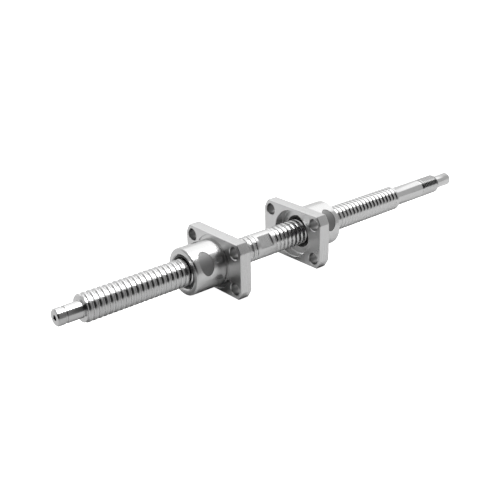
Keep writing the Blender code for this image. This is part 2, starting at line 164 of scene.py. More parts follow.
# Wipers; the flanks of the lip rise from LIP_RANGE through FLANK to FACE_RISE
WIPER_WIDTH = 1.3
WIPER_INNER_RADIUS = 5.15
WIPER_OUTER_RADIUS = 6.1
WIPER_ROUNDING = 0.12
WIPER_LIP_RANGE = (0.55, 0.75)
WIPER_FLANK = (0.25, 0.3)
WIPER_FACE_RISE = 0.45

# Ball circuits
BALL_RADIUS = 0.58
BALL_DETAIL = 3
CIRCUIT_TURN = -120.0
CIRCUIT_SPACING = LEAD * 4.0 / 3.0
CIRCUIT_SAMPLES = 720
CROSSING_HALF_ANGLE = 13.0
LIFT_HALF_ANGLE = 38.0
BALL_LIFT = 0.75
BALLS_LOADED = 22
BALLS_RETURNING = 5

# Deflectors and their pockets
DEFLECTOR_ANGLE = 150.0
DEFLECTOR_FROM_FREE_END = 5.05
DEFLECTOR_HALF_LENGTH = 2.8
DEFLECTOR_HALF_WIDTH = 4.35
DEFLECTOR_INNER_RADIUS = 6.75
DEFLECTOR_RECESS = 0.12
DEFLECTOR_EDGE = 0.12
DEFLECTOR_SEGMENTS = 72
POCKET_CLEARANCE = 0.08
POCKET_FLOOR = 3.0
POCKET_TOP = 10.0

# Finish: shade, roughness, frequency of the grain along X, Y and Z, strength of the bump
TURNED_GRAIN = (5000.0, 120.0, 120.0)
SCREW_STEEL = (0.57, 0.12, TURNED_GRAIN, 0.25)
NUT_STEEL = (0.56, 0.22, TURNED_GRAIN, 0.3)
DEFLECTOR_STEEL = (0.2, 0.6, (900.0, 900.0, 900.0), 0.5)
BALL_STEEL = (0.8, 0.06, (600.0, 600.0, 600.0), 0.05)
WIPER_PLASTIC = (0.05, 0.55, (4000.0, 4000.0, 4000.0), 0.2)
PATCH_GRAIN = (70.0, 70.0, 70.0)
LINE_SHARE = 0.6
PATCH_SHARE = 0.4
STEEL_TONES = ((0.25, 0.93), (0.75, 1.06))
STEEL_POLISH = (0.75, 1.25)
PLASTIC_TONES = ((0.3, 0.8), (0.7, 1.2))
PLASTIC_POLISH = (0.85, 1.15)
BUMP_DISTANCE = 0.02

# Finish and painted shade: what the masks add, and how far they reach
LAND_ROUGHNESS = 0.16
LAND_DEPTH = 0.06
MILLED_ROUGHNESS = 0.06
MILLED_MARGIN = 0.3
SQUARE_FACING = 0.95
DRILLED_ROUGHNESS = 0.1
# painted shade: colour inside the bolt and centre holes is scaled down to this share
HOLE_PAINTED_SHADE = 0.4
BOLT_HOLE_MARGIN = 0.05
CENTRE_HOLE_MARGIN = 0.1

# Studio; a lobe is its azimuth, elevation, inner and outer angle, and darkest factor
OVERHEAD = 1.6
OVERHEAD_LEAN = 21.0
OVERHEAD_EDGE = 0.06
OVERHEAD_RISE = (0.35, 0.55)
FRONT_WALL = 0.62
BACK_WALL = 0.95
WALL_TURN = (-0.1, 0.5)
DARK_SIDE = (-45.0, 22.0, 38.0, 95.0, 0.04)
DARK_END = (-112.0, 40.0, 20.0, 46.0, 0.45)

# Floor, in metres; painted shade darkens its colour towards the camera, from 1 at the first
# distance to the last value
FLOOR_SIZE = 6.0
FLOOR_CELLS = 8
FLOOR_GAP = 0.00005
FLOOR_GRAIN = (40.0, 40.0, 40.0)
FLOOR_TONES = ((0.3, 0.50), (0.7, 0.52))
FLOOR_PAINTED_SHADE = (0.02, 0.2, 0.1)
FLOOR_ROUGHNESS = 0.9

# Key light, in metres and watts
KEY_AZIMUTH = 20.0
KEY_ELEVATION = 82.0
KEY_DISTANCE = 0.9
KEY_SIZE = 0.7
KEY_POWER = 9.0

# View; the camera's place and clipping are in metres
CAMERA_PLACE = (-0.193732, -0.211891, 0.118523)
CAMERA_AZIMUTH = -39.61
CAMERA_ELEVATION = 23.43
CAMERA_ROLL = -1.53
CAMERA_LENS = 57.88
CAMERA_SENSOR = 36.0
CAMERA_CLIP = (0.01, 20.0)


# ------------------------------------------------------------------ mesh helpers


def polar(station, radius, degrees):
    """The point at a station, a distance from the screw's axis and an angle, in metres."""
    angle = math.radians(degrees)
    place = (SCREW_LOW.x + station, radius * math.cos(angle), radius * math.sin(angle))
    return Vector(place) * MM


def smoothstep(value):
    value = min(1.0, max(0.0, value))
    return value * value * (3.0 - 2.0 * value)


def new_object(name, data):
    item = bpy.data.objects.new(name, data)
    bpy.context.scene.collection.objects.link(item)
    return item


def mesh_from(name, builder):
    bmesh.ops.recalc_face_normals(builder, faces=builder.faces)
    mesh = bpy.data.meshes.new(name)
    builder.to_mesh(mesh)
    builder.free()
    return mesh


def smooth(mesh, degrees=30.0):
    mesh.shade_smooth()
    mesh.set_sharp_from_angle(angle=math.radians(degrees))


def steady(item):
    """Lets the large faces set the shading, so that rounded edges don't bend it."""
    smooth(item.data)
    weighted = item.modifiers.new("Shading", "WEIGHTED_NORMAL")
    weighted.keep_sharp = True
    settle(item)


def paint(item, material):
    item.data.materials.clear()
    item.data.materials.append(material)


def revolved_grid(name, line_at, columns):
    """A closed skin through the (station, radius) lines that line_at gives at each angle."""
    builder = bmesh.new()
    corners = {}

    def corner(column, point):
        station, radius = point
        if radius <= 0.0:
            key = ("axis", round(station, 5))
        else:
            key = (column % columns, round(station, 5), round(radius, 5))
        if key not in corners:
            corners[key] = builder.verts.new(polar(station, radius, 360.0 * column / columns))
        return corners[key]

    lines = [line_at(360.0 * column / columns) for column in range(columns + 1)]
    for column in range(columns):
        here = [corner(column, point) for point in lines[column]]
        there = [corner(column + 1, point) for point in lines[column + 1]]
        for index in range(len(here) - 1):
            ring = (here[index], here[index + 1], there[index + 1], there[index])
            face = list(dict.fromkeys(ring))
            if len(face) > 2:
                builder.faces.new(face)
    return mesh_from(name, builder)


def revolved(name, outline, columns):
    """A turned shape; outline is its (station, radius) points along +X."""
    return revolved_grid(name, lambda degrees: outline, columns)


def arc(centre, radius, start, end, steps):
    """Points (station, radius) on an arc, with angles from the +X direction outwards."""
    points = []
    for step in range(steps + 1):
        angle = math.radians(start + (end - start) * step / steps)
        points.append((centre[0] + radius * math.cos(angle), centre[1] + radius * math.sin(angle)))
    return points


def boolean(item, cutter, operation):
    modifier = item.modifiers.new(operation.title(), "BOOLEAN")
    modifier.operation = operation
    modifier.solver = "EXACT"
    modifier.object = cutter


def round_edges(item, width, segments, degrees):
    """Rounds the edges that turn by more than the given angle."""
    bevel = item.modifiers.new("Edge", "BEVEL")
    bevel.width = width * MM
    bevel.segments = segments
    bevel.limit_method = "ANGLE"
    bevel.angle_limit = math.radians(degrees)


def settle(item, cutters=()):
    """Applies the modifiers and removes the cutters."""
    bpy.context.view_layer.update()
    evaluated = item.evaluated_get(bpy.context.evaluated_depsgraph_get())
    mesh = bpy.data.meshes.new_from_object(evaluated)
    mesh.name = item.name
    item.modifiers.clear()
    item.data = mesh
    for cutter in cutters:
        bpy.data.objects.remove(cutter, do_unlink=True)


# ------------------------------------------------------------------ screw


def groove_arc(above, steps):
    """(offset, depth) across a ball groove whose arc's centre lies above the skin."""
    reach = math.acos(above / GROOVE_ARC_RADIUS)
    points = []
    for step in range(steps + 1):
        angle = -reach + 2.0 * reach * step / steps
        depth = GROOVE_ARC_RADIUS * math.cos(angle) - above
        points.append((GROOVE_ARC_RADIUS * math.sin(angle), depth))
    return points


def ball_groove_profile():
    """(offset, drop) across one turn of the screw's groove, with its edges broken."""
    points = groove_arc(BALL_CIRCLE_RADIUS - THREAD_RADIUS, GROOVE_ARC_STEPS)
    half = points[-1][0]
    edge = GROOVE_BROKEN_EDGE
    points[0] = (-half, edge)
    points[-1] = (half, edge)
    return [(-LEAD / 2.0, 0.0), (-half - edge, 0.0)] + points + [(half + edge, 0.0)]


def vee_profile(pitch, depth):
    """(offset, drop) across one turn of a fine 60 degree thread."""
    flat = pitch / 8.0
    half = pitch / 2.0 - flat / 2.0
    return [(-half, 0.0), (-flat / 2.0, depth), (flat / 2.0, depth), (half, 0.0)]


def helix_rows(groove, lead, profile, radius, degrees, fade=GROOVE_FADE):
    """The (station, radius) points of a helical groove's turns along the line at one angle.

    The groove fades in and out over a part of a turn; an open one starts at its full depth.
    """
    start, end = groove["range"]
    first = math.floor((start - groove["station"]) / lead) - 2
    last = math.ceil((end - groove["station"]) / lead) + 2
    shift = groove["hand"] * (degrees - GROOVE_ANGLE) / 360.0
    points = []
    for turn in range(first, last + 1):
        centre = groove["station"] + lead * (turn + shift)
        run_in = 1.0 if groove["open"] else smoothstep((centre - start) / (lead * fade))
        share = min(run_in, smoothstep((end - centre) / (lead * fade)))
        points += [(centre + offset, radius - drop * share) for offset, drop in profile]
    return cropped(points, start, end)


def cropped(points, start, end):
    """Moves the points beyond start and end to where the line crosses them."""
    edges = {}
    for edge in (start, end):
        before = max(point for point in points if point[0] <= edge)
        after = min(point for point in points if point[0] > edge)
        share = (edge - before[0]) / (after[0] - before[0])
        edges[edge] = (edge, before[1] + (after[1] - before[1]) * share)
    return [
        edges[start] if point[0] <= start else edges[end] if point[0] >= end else point
        for point in points
    ]


def trimmed(points, chamfer_end):
    """Keeps the points under the 45 degree chamfer that ends at a station."""
    skin = THREAD_RADIUS - chamfer_end
    return [(station, min(radius, skin + station)) for station, radius in points]


def flat_radius(degrees):
    """Distance from the axis to the skin of the wrench flats' stretch at an angle."""
    facing = abs(math.cos(math.radians(degrees - FLAT_ANGLE)))
    if facing * THREAD_RADIUS <= ACROSS_FLATS / 2.0:
        return THREAD_RADIUS
    return ACROSS_FLATS / 2.0 / facing


def centre_hole(end, inward):
    """Outline of the centre hole in an end face, from its tip to its rim."""
    return [
        (end + inward * CENTRE_HOLE_TIP, 0.0),
        (end + inward * CENTRE_HOLE_DEPTH, CENTRE_HOLE_RADIUS - CENTRE_HOLE_TAPER),
        (end + inward * CENTRE_HOLE_EDGE, CENTRE_HOLE_RADIUS - CENTRE_HOLE_EDGE),
        (end, CENTRE_HOLE_RADIUS),
    ]


def shoulder(station, radius, start):
    """The fillet between a journal and the shoulder beside it; start is its first angle."""
    side = 1.0 if start > 0.0 else -1.0
    centre = (station + side * SHOULDER_FILLET, radius + SHOULDER_FILLET)
    return arc(centre, SHOULDER_FILLET, start, start + 90.0, SHOULDER_STEPS)


def support_end():
    """Outline of the screw from its left end to the ball thread."""
    ring_start, ring_end = RING_GROOVE_RANGE
    lip = SUPPORT_RADIUS - RING_GROOVE_EDGE
    points = centre_hole(0.0, 1)
    points += [
        (0.0, SUPPORT_RADIUS - END_CHAMFER),
        (END_CHAMFER, SUPPORT_RADIUS),
        (ring_start - RING_GROOVE_EDGE, SUPPORT_RADIUS),
        (ring_start, lip),
        (ring_start, RING_GROOVE_RADIUS),
        (ring_end, RING_GROOVE_RADIUS),
        (ring_end, lip),
        (ring_end + RING_GROOVE_EDGE, SUPPORT_RADIUS),
    ]
    points += shoulder(THREAD_START, SUPPORT_RADIUS, -90.0)
    return points + [(THREAD_START, THREAD_RADIUS - THREAD_CHAMFER)]


def bearing_end():
    """Outline of the screw from the end of the ball thread to the locknut thread."""
    thread_start = LOCKNUT_THREAD[0]
    relief_start = thread_start - RELIEF_WIDTH
    points = [
        (THREAD_END - THREAD_CHAMFER, THREAD_RADIUS),
        (THREAD_END, THREAD_RADIUS - THREAD_CHAMFER),
    ]
    points += shoulder(THREAD_END, BEARING_RADIUS, 180.0)
    return points + [
        (relief_start - RELIEF_EDGE, BEARING_RADIUS),
        (relief_start, BEARING_RADIUS - RELIEF_EDGE),
        (relief_start + RELIEF_SLOPE, RELIEF_RADIUS),
        (thread_start, RELIEF_RADIUS),
        (thread_start + LOCKNUT_RUN_IN, BEARING_RADIUS),
    ]


def drive_end():
    """Outline of the screw from the end of the locknut thread to its right end."""
    thread_end = LOCKNUT_THREAD[1]
    points = [
        (thread_end - LOCKNUT_RUN_IN, BEARING_RADIUS),
        (thread_end, BEARING_RADIUS - LOCKNUT_CHAMFER),
        (thread_end, DRIVE_RADIUS + DRIVE_FILLET),
        (thread_end + DRIVE_FILLET, DRIVE_RADIUS),
    ]
    points += [(LENGTH - back, DRIVE_RADIUS - drop) for back, drop in DRIVE_TIP]
    return points + centre_hole(LENGTH, -1)[::-1]


def screw_mesh():
    ball_profile = ball_groove_profile()
    fine_profile = vee_profile(LOCKNUT_PITCH, LOCKNUT_THREAD_DEPTH)

    def ball_thread(groove, degrees):
        return helix_rows(groove, LEAD, ball_profile, THREAD_RADIUS, degrees)

    def line_at(degrees):
        flat = flat_radius(degrees)
        middle = [
            (FLAT_RANGE[0], THREAD_RADIUS),
            (FLAT_RANGE[0], flat),
            (FLAT_RANGE[1], flat),
            (FLAT_RANGE[1], THREAD_RADIUS),
        ]
        left = trimmed(ball_thread(LEFT_GROOVE, degrees), THREAD_START + THREAD_CHAMFER)
        right = ball_thread(RIGHT_GROOVE, degrees)
        lock = helix_rows(
            LOCKNUT_GROOVE, LOCKNUT_PITCH, fine_profile, BEARING_RADIUS, degrees, LOCKNUT_FADE
        )
        return support_end() + left + middle + right + bearing_end() + lock + drive_end()

    mesh = revolved_grid("screw", line_at, SCREW_COLUMNS)
    smooth(mesh)
    return mesh


# ------------------------------------------------------------------ nuts


class Nut:
    """Stations along one nut, counted from its free end towards its flange."""

    def __init__(self, side):
        low, high = NUT_BOX[side]
        self.side = side
        self.inward = 1 if side == "left" else -1
        free = low.x if side == "left" else high.x
        self.free_end = free - SCREW_LOW.x
        self.groove = LEFT_GROOVE if side == "left" else RIGHT_GROOVE

    def station(self, depth):
        return self.free_end + self.inward * depth

    def turned(self, name, points, segments=NUT_SEGMENTS):
        """A mesh turned from (depth, radius) points."""
        outline = [(self.station(depth), radius) for depth, radius in points]
        return revolved(name, outline, segments)

    def deflector(self, circuit):
        """Station and angle of a circuit's deflector."""
        depth = DEFLECTOR_FROM_FREE_END + circuit * CIRCUIT_SPACING
        return self.station(depth), DEFLECTOR_ANGLE + circuit * CIRCUIT_TURN

    def crossing(self, circuit):
        """Station of the screw's crest that is nearest to a circuit's deflector."""
        station, degrees = self.deflector(circuit)
        turn = self.groove["hand"] * (degrees - GROOVE_ANGLE) / 360.0
        base = self.groove["station"] + LEAD * turn
        return base + LEAD * (math.floor((station - base) / LEAD) + 0.5)


def flange_plate(nut):
    """The flange: a round blank with four sides cut flat, and its edges rounded."""
    corner_y = math.sqrt(FLANGE_BLANK_RADIUS**2 - FLANGE_HALF_HEIGHT**2)
    corner_z = math.sqrt(FLANGE_BLANK_RADIUS**2 - FLANGE_HALF_WIDTH**2)
    low = math.atan2(corner_z, FLANGE_HALF_WIDTH)
    high = math.atan2(FLANGE_HALF_HEIGHT, corner_y)
    front = nut.station(NUT_LENGTH - FLANGE_THICKNESS)
    back = nut.station(NUT_LENGTH)
    builder = bmesh.new()
    rims = ([], [])
    for quarter in range(4):
        span = (low, high) if quarter % 2 == 0 else (math.pi - high, math.pi - low)
        turn = math.pi * (quarter // 2)
        for step in range(FLANGE_CORNER_STEPS + 1):
            share = (span[1] - span[0]) * step / FLANGE_CORNER_STEPS
            angle = math.degrees(span[0] + share + turn)
            for rim, station in zip(rims, (front, back)):
                rim.append(builder.verts.new(polar(station, FLANGE_BLANK_RADIUS, angle)))
    for rim in rims:
        builder.faces.new(rim)
    count = len(rims[0])
    for index in range(count):
        after = (index + 1) % count
        builder.faces.new((rims[0][index], rims[0][after], rims[1][after], rims[1][index]))
    plate = new_object(f"{nut.side}_nut_body", mesh_from(f"{nut.side}_nut_body", builder))
    round_edges(plate, FLANGE_EDGE_BEVEL, 3, 60.0)
    return plate


def nut_body(nut):
    """The round body, with a root inside the flange."""
    corner = NUT_RADIUS - NUT_CHAMFER
    root = NUT_LENGTH - FLANGE_THICKNESS + OVERSHOOT
    points = [
        (0.0, 0.0),
        (0.0, corner - NUT_ROUNDING),
        (NUT_ROUNDING * 0.3, corner - NUT_ROUNDING * 0.3),
        (NUT_CHAMFER, NUT_RADIUS - NUT_ROUNDING * 0.4),
        (NUT_CHAMFER + NUT_CHAMFER_RUN, NUT_RADIUS),
        (root, NUT_RADIUS),
        (root, 0.0),
    ]
    name = f"{nut.side}_turned_body"
    return new_object(name, nut.turned(name, points))


def face_relief(nut):
    """The shallow turned relief in the flange's front face, round the body."""
    front = NUT_LENGTH - FLANGE_THICKNESS
    floor = front + FACE_RELIEF_DEPTH
    edge = FACE_RELIEF_EDGE
    radius = FACE_RELIEF_RADIUS
    points = [
        (front - OVERSHOOT, 0.0),
        (front - OVERSHOOT, radius + OVERSHOOT + edge),
        (front + edge, radius),
        (floor - edge, radius),
        (floor, radius - edge),
        (floor, 0.0),
    ]
    name = f"{nut.side}_face_relief"
    return new_object(name, nut.turned(name, points))


def bore_cutter(nut):
    """The bore, with a wiper's seat at each end and the counterbore in the flange."""
    floor = NUT_LENGTH - COUNTERBORE_DEPTH
    clear_of_thread_cutter = 0.05
    bore = NUT_BORE_RADIUS - clear_of_thread_cutter
    edge = NUT_BORE_EDGE
    points = [
        (-OVERSHOOT, 0.0),
        (-OVERSHOOT, SEAT_RADIUS + SEAT_MOUTH + OVERSHOOT),
        (SEAT_MOUTH, SEAT_RADIUS),
        (SEAT_DEPTH, SEAT_RADIUS),
        (SEAT_DEPTH, bore + edge),
        (SEAT_DEPTH + edge, bore),
        (floor - SEAT_DEPTH - edge, bore),
        (floor - SEAT_DEPTH, bore + edge),
        (floor - SEAT_DEPTH, SEAT_RADIUS),
        (floor - edge, SEAT_RADIUS),
        (floor, SEAT_RADIUS + edge),
        (floor, COUNTERBORE_RADIUS - edge),
        (floor + edge, COUNTERBORE_RADIUS),
        (NUT_LENGTH - edge, COUNTERBORE_RADIUS),
        (NUT_LENGTH + OVERSHOOT, COUNTERBORE_RADIUS + edge + OVERSHOOT),
        (NUT_LENGTH + OVERSHOOT, 0.0),
    ]
    name = f"{nut.side}_bore_cutter"
    return new_object(name, nut.turned(name, points))


def thread_cutter(nut):
    """The ball groove inside the nut, as a rod with a round helical ridge."""
    margin = NUT_GROOVE_MARGIN
    depths = (margin, NUT_LENGTH - COUNTERBORE_DEPTH - margin)
    ends = sorted(nut.station(depth) for depth in depths)
    ridge = dict(nut.groove, range=tuple(ends), open=False)
    groove = groove_arc(NUT_BORE_RADIUS - BALL_CIRCLE_RADIUS, NUT_GROOVE_STEPS)
    profile = [(offset, -rise) for offset, rise in groove]

    def line_at(degrees):
        rows = helix_rows(ridge, LEAD, profile, NUT_BORE_RADIUS, degrees)
        return [(ends[0], 0.0)] + rows + [(ends[1], 0.0)]

    name = f"{nut.side}_thread_cutter"
    return new_object(name, revolved_grid(name, line_at, NUT_GROOVE_COLUMNS))


def bolt_cutter(nut, across, up):
    """A through hole with a broken edge on both faces of the flange."""
    radius = BOLT_HOLE_RADIUS
    wide = radius + BOLT_HOLE_CHAMFER + OVERSHOOT
    front = NUT_LENGTH - FLANGE_THICKNESS
    points = [
        (front - OVERSHOOT, 0.0),
        (front - OVERSHOOT, wide),
        (front + BOLT_HOLE_CHAMFER, radius),
        (NUT_LENGTH - BOLT_HOLE_CHAMFER, radius),
        (NUT_LENGTH + OVERSHOOT, wide),
        (NUT_LENGTH + OVERSHOOT, 0.0),
    ]
    name = f"{nut.side}_bolt_cutter"
    item = new_object(name, nut.turned(name, points, BOLT_HOLE_SEGMENTS))
    item.location = (0.0, across * BOLT_Y * MM, up * BOLT_Z * MM)
    return item


def oval_prism(name, nut, circuit, clearance):
    """An upright oval block at a deflector's place, from inside the bore outwards."""
    builder = bmesh.new()
    bmesh.ops.create_cone(
        builder, cap_ends=True, segments=DEFLECTOR_SEGMENTS, radius1=1.0, radius2=1.0, depth=1.0
    )
    size = Vector(
        (
            DEFLECTOR_HALF_LENGTH + clearance,
            DEFLECTOR_HALF_WIDTH + clearance,
            POCKET_TOP - POCKET_FLOOR,
        )
    )
    bmesh.ops.scale(builder, vec=size * MM, verts=builder.verts)
    item = new_object(name, mesh_from(name, builder))
    station, degrees = nut.deflector(circuit)
    item.location = polar(station, (POCKET_TOP + POCKET_FLOOR) / 2.0, degrees)
    item.rotation_euler = (math.radians(degrees - 90.0), 0.0, 0.0)
    return item


def make_nut(nut, material):
    plate = flange_plate(nut)
    relief = face_relief(nut)
    boolean(plate, relief, "DIFFERENCE")
    body = nut_body(nut)
    boolean(plate, body, "UNION")
    cutters = [bore_cutter(nut), thread_cutter(nut)]
    cutters += [bolt_cutter(nut, across, up) for across in (1, -1) for up in (1, -1)]
    for circuit in range(CIRCUITS):
        cutters.append(oval_prism("pocket", nut, circuit, POCKET_CLEARANCE))
    for cutter in cutters:
        boolean(plate, cutter, "DIFFERENCE")
    settle(plate, [relief, body] + cutters)
    steady(plate)
    paint(plate, material)
    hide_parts(f"{nut.side}_nut")
    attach(plate, f"{nut.side}_nut")


def make_deflector(nut, circuit, material):
    """An oval plug whose outer face follows the body, a little below it."""
    item = oval_prism(f"{nut.side}_deflector_plug_{circuit + 1}", nut, circuit, 0.0)
    top = NUT_RADIUS - DEFLECTOR_RECESS
    low = DEFLECTOR_INNER_RADIUS
    first = OVERSHOOT
    ring = [(first, low), (first, top), (NUT_LENGTH, top), (NUT_LENGTH, low), (first, low)]
    shell = new_object("shell", nut.turned("shell", ring, 2 * NUT_SEGMENTS))
    boolean(item, shell, "INTERSECT")
    round_edges(item, DEFLECTOR_EDGE, 2, 45.0)
    settle(item, [shell])
    steady(item)
    paint(item, material)
    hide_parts(f"{nut.side}_deflector_{circuit + 1}")
    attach(item, f"{nut.side}_nut")


def make_wiper(nut, name, depth, material):
    """A moulded ring with a rounded rim and a lip that follows the screw."""
    lip = WIPER_INNER_RADIUS
    rim = WIPER_OUTER_RADIUS
    far = depth + WIPER_WIDTH
    inset, rise = WIPER_FLANK
    points = [
        (depth + WIPER_ROUNDING, rim),
        (far - WIPER_ROUNDING, rim),
        (far, rim - WIPER_ROUNDING),
        (far, lip + WIPER_FACE_RISE),
        (far - inset, lip + rise),
        (depth + WIPER_LIP_RANGE[1], lip),
        (depth + WIPER_LIP_RANGE[0], lip),
        (depth + inset, lip + rise),
        (depth, lip + WIPER_FACE_RISE),
        (depth, rim - WIPER_ROUNDING),
        (depth + WIPER_ROUNDING, rim),
    ]
    mesh = nut.turned(f"{nut.side}_{name}_ring", points)
    smooth(mesh)
    item = new_object(mesh.name, mesh)
    paint(item, material)
    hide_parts(f"{nut.side}_{name}")
    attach(item, f"{nut.side}_wipers")


def circuit_path(nut, circuit):
    """The closed path of a circuit's ball centres."""
    degrees = nut.deflector(circuit)[1]
    crossing = nut.crossing(circuit)
    slope = LIFT_HALF_ANGLE - CROSSING_HALF_ANGLE
    places = []
    for step in range(CIRCUIT_SAMPLES):
        swing = -180.0 + 360.0 * step / CIRCUIT_SAMPLES
        lift = smoothstep((LIFT_HALF_ANGLE - abs(swing)) / slope)
        shift = smoothstep((swing / CROSSING_HALF_ANGLE + 1.0) / 2.0) - 0.5
        station = crossing + nut.groove["hand"] * LEAD * (swing / 360.0 - shift)
        places.append(polar(station, BALL_CIRCLE_RADIUS + BALL_LIFT * lift, degrees + swing))
    return places


def evenly_spaced(places, count):
    """Points at equal distances round a closed path, from half a step past its start."""
    lengths = [0.0]
    for index, point in enumerate(places):
        lengths.append(lengths[-1] + (places[(index + 1) % len(places)] - point).length)
    result = []
    index = 0
    for step in range(count):
        wanted = lengths[-1] * (step + 0.5) / count
        while lengths[index + 1] < wanted:
            index += 1
        share = (wanted - lengths[index]) / (lengths[index + 1] - lengths[index])
        result.append(places[index].lerp(places[(index + 1) % len(places)], share))
    return result


def make_balls(nut, circuit, material):
    """A circuit's loaded balls, and those that return below the deflector."""
    total = BALLS_LOADED + BALLS_RETURNING
    first = BALLS_LOADED // 2
    last = first + BALLS_RETURNING
    centres = evenly_spaced(circuit_path(nut, circuit), total)
    rows = {"ball_row": centres[last:] + centres[:first], "return_balls": centres[first:last]}
    for kind, row in rows.items():
        builder = bmesh.new()
        for centre in row:
            bmesh.ops.create_icosphere(
                builder,
                subdivisions=BALL_DETAIL,
                radius=BALL_RADIUS * MM,
                matrix=Matrix.Translation(centre),
            )
        node = f"{nut.side}_{kind}_{circuit + 1}"
        mesh = mesh_from(f"{node}_steel", builder)
        mesh.shade_smooth()
        item = new_object(mesh.name, mesh)
        paint(item, material)
        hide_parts(node)
        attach(item, f"{nut.side}_nut")


# ------------------------------------------------------------------ materials


class Nodes:
    """A short way to write a node tree."""

    def __init__(self, tree):
        self.tree = tree

    def add(self, kind, **values):
        node = self.tree.nodes.new(kind)
        for name, value in values.items():
            setattr(node, name, value)
        return node

    def link(self, source, target):
        self.tree.links.new(source, target)

    def coordinates(self, kind):
        return self.add("ShaderNodeTexCoord").outputs[kind]

    def noise(self, scale, detail=3.0, roughness=0.5):
        mapping = self.add("ShaderNodeMapping")
        mapping.inputs["Scale"].default_value = scale
        self.link(self.coordinates("Object"), mapping.inputs["Vector"])
        texture = self.add("ShaderNodeTexNoise")
        texture.inputs["Scale"].default_value = 1.0
        texture.inputs["Detail"].default_value = detail
        texture.inputs["Roughness"].default_value = roughness
        self.link(mapping.outputs["Vector"], texture.inputs["Vector"])
        return texture.outputs["Fac"]

    def tones(self, source, stops, shade=1.0):
        """Greys from two (position, value) stops."""
        node = self.add("ShaderNodeValToRGB")
        for element, (position, value) in zip(node.color_ramp.elements, stops):
            element.position = position
            element.color = (*[shade * value] * 3, 1.0)
        self.link(source, node.inputs["Fac"])
        return node.outputs["Color"]

    def spread(self, source, low, high):
        """The source's 0 to 1 as low to high."""
        node = self.add("ShaderNodeMapRange")
        node.inputs["To Min"].default_value = low
        node.inputs["To Max"].default_value = high
        self.link(source, node.inputs["Value"])
        return node.outputs["Result"]

    def eased(self, source, start, end, low, high):
        """A smooth step from low to high while the source goes from start to end."""
        node = self.add("ShaderNodeMapRange", interpolation_type="SMOOTHSTEP")
        node.inputs["From Min"].default_value = start
        node.inputs["From Max"].default_value = end
        node.inputs["To Min"].default_value = low
        node.inputs["To Max"].default_value = high
        self.link(source, node.inputs["Value"])
        return node.outputs["Result"]

    def math(self, operation, first, second):
        node = self.add("ShaderNodeMath", operation=operation)
        for socket, value in zip(node.inputs, (first, second)):
            if isinstance(value, (int, float)):
                socket.default_value = value
            else:
                self.link(value, socket)
        return node.outputs["Value"]

    def along(self, source, way):
        """How far a vector reaches in a direction."""
        node = self.add("ShaderNodeVectorMath", operation="DOT_PRODUCT")
        node.inputs[1].default_value = way
        self.link(source, node.inputs[0])
        return node.outputs["Value"]

    def scaled(self, source, factor):
        node = self.add("ShaderNodeVectorMath", operation="SCALE")
        self.link(source, node.inputs[0])
        self.link(factor, node.inputs["Scale"])
        return node.outputs["Vector"]

    def distance(self, centre, weights, folded=False):
        """Distance from a centre, in metres, with each axis weighted.

        Folded, it is the distance from the nearest of the centre's mirror images.
        """
        source = self.coordinates("Object")
        if folded:
            absolute = self.add("ShaderNodeVectorMath", operation="ABSOLUTE")
            self.link(source, absolute.inputs[0])
            source = absolute.outputs["Vector"]
        place = self.add("ShaderNodeVectorMath", operation="MULTIPLY_ADD")
        place.inputs[1].default_value = weights
        place.inputs[2].default_value = [-value * MM for value in centre]
        self.link(source, place.inputs[0])
        length = self.add("ShaderNodeVectorMath", operation="LENGTH")
        self.link(place.outputs["Vector"], length.inputs[0])
        return length.outputs["Value"]

    def from_axis(self):
        """Distance from the screw's axis, in metres."""
        return self.distance((0.0, 0.0, 0.0), (0.0, 1.0, 1.0))


def milled_flange(tree):
    """1 on the flange and on faces square to the axis, 0 on the turned skin."""
    outside = tree.math("GREATER_THAN", tree.from_axis(), (NUT_RADIUS + MILLED_MARGIN) * MM)
    facing = tree.add("ShaderNodeSeparateXYZ")
    tree.link(tree.coordinates("Normal"), facing.inputs["Vector"])
    facing = tree.math("ABSOLUTE", facing.outputs["X"], 0.0)
    square = tree.math("GREATER_THAN", facing, SQUARE_FACING)
    return tree.math("MAXIMUM", outside, square)


def ground_lands(tree):
    """1 on the wrench flats and on the lands between the polished grooves."""
    start, end = FLAT_RANGE
    middle = SCREW_LOW.x + (start + end) / 2.0
    along = tree.distance((middle, 0.0, 0.0), (1.0, 0.0, 0.0))
    flats = tree.math("LESS_THAN", along, (end - start) / 2.0 * MM)
    lands = tree.math("GREATER_THAN", tree.from_axis(), (THREAD_RADIUS - LAND_DEPTH) * MM)
    return tree.math("MAXIMUM", flats, lands)


def bolt_holes(tree):
    """1 inside the flange's bolt holes."""
    radius = tree.distance((0.0, BOLT_Y, BOLT_Z), (0.0, 1.0, 1.0), folded=True)
    return tree.math("LESS_THAN", radius, (BOLT_HOLE_RADIUS + BOLT_HOLE_MARGIN) * MM)


def centre_holes(tree):
    """1 inside the centre holes at the screw's ends."""
    limit = (CENTRE_HOLE_RADIUS - CENTRE_HOLE_MARGIN) * MM
    return tree.math("LESS_THAN", tree.from_axis(), limit)


def new_material(name):
    material = bpy.data.materials.new(name)
    material.use_nodes = True
    return material, Nodes(material.node_tree), material.node_tree.nodes["Principled BSDF"]


def add_bump(tree, shader, height, strength):
    relief = tree.add("ShaderNodeBump")
    relief.inputs["Strength"].default_value = strength
    relief.inputs["Distance"].default_value = BUMP_DISTANCE * MM
    tree.link(height, relief.inputs["Height"])
    tree.link(relief.outputs["Normal"], shader.inputs["Normal"])


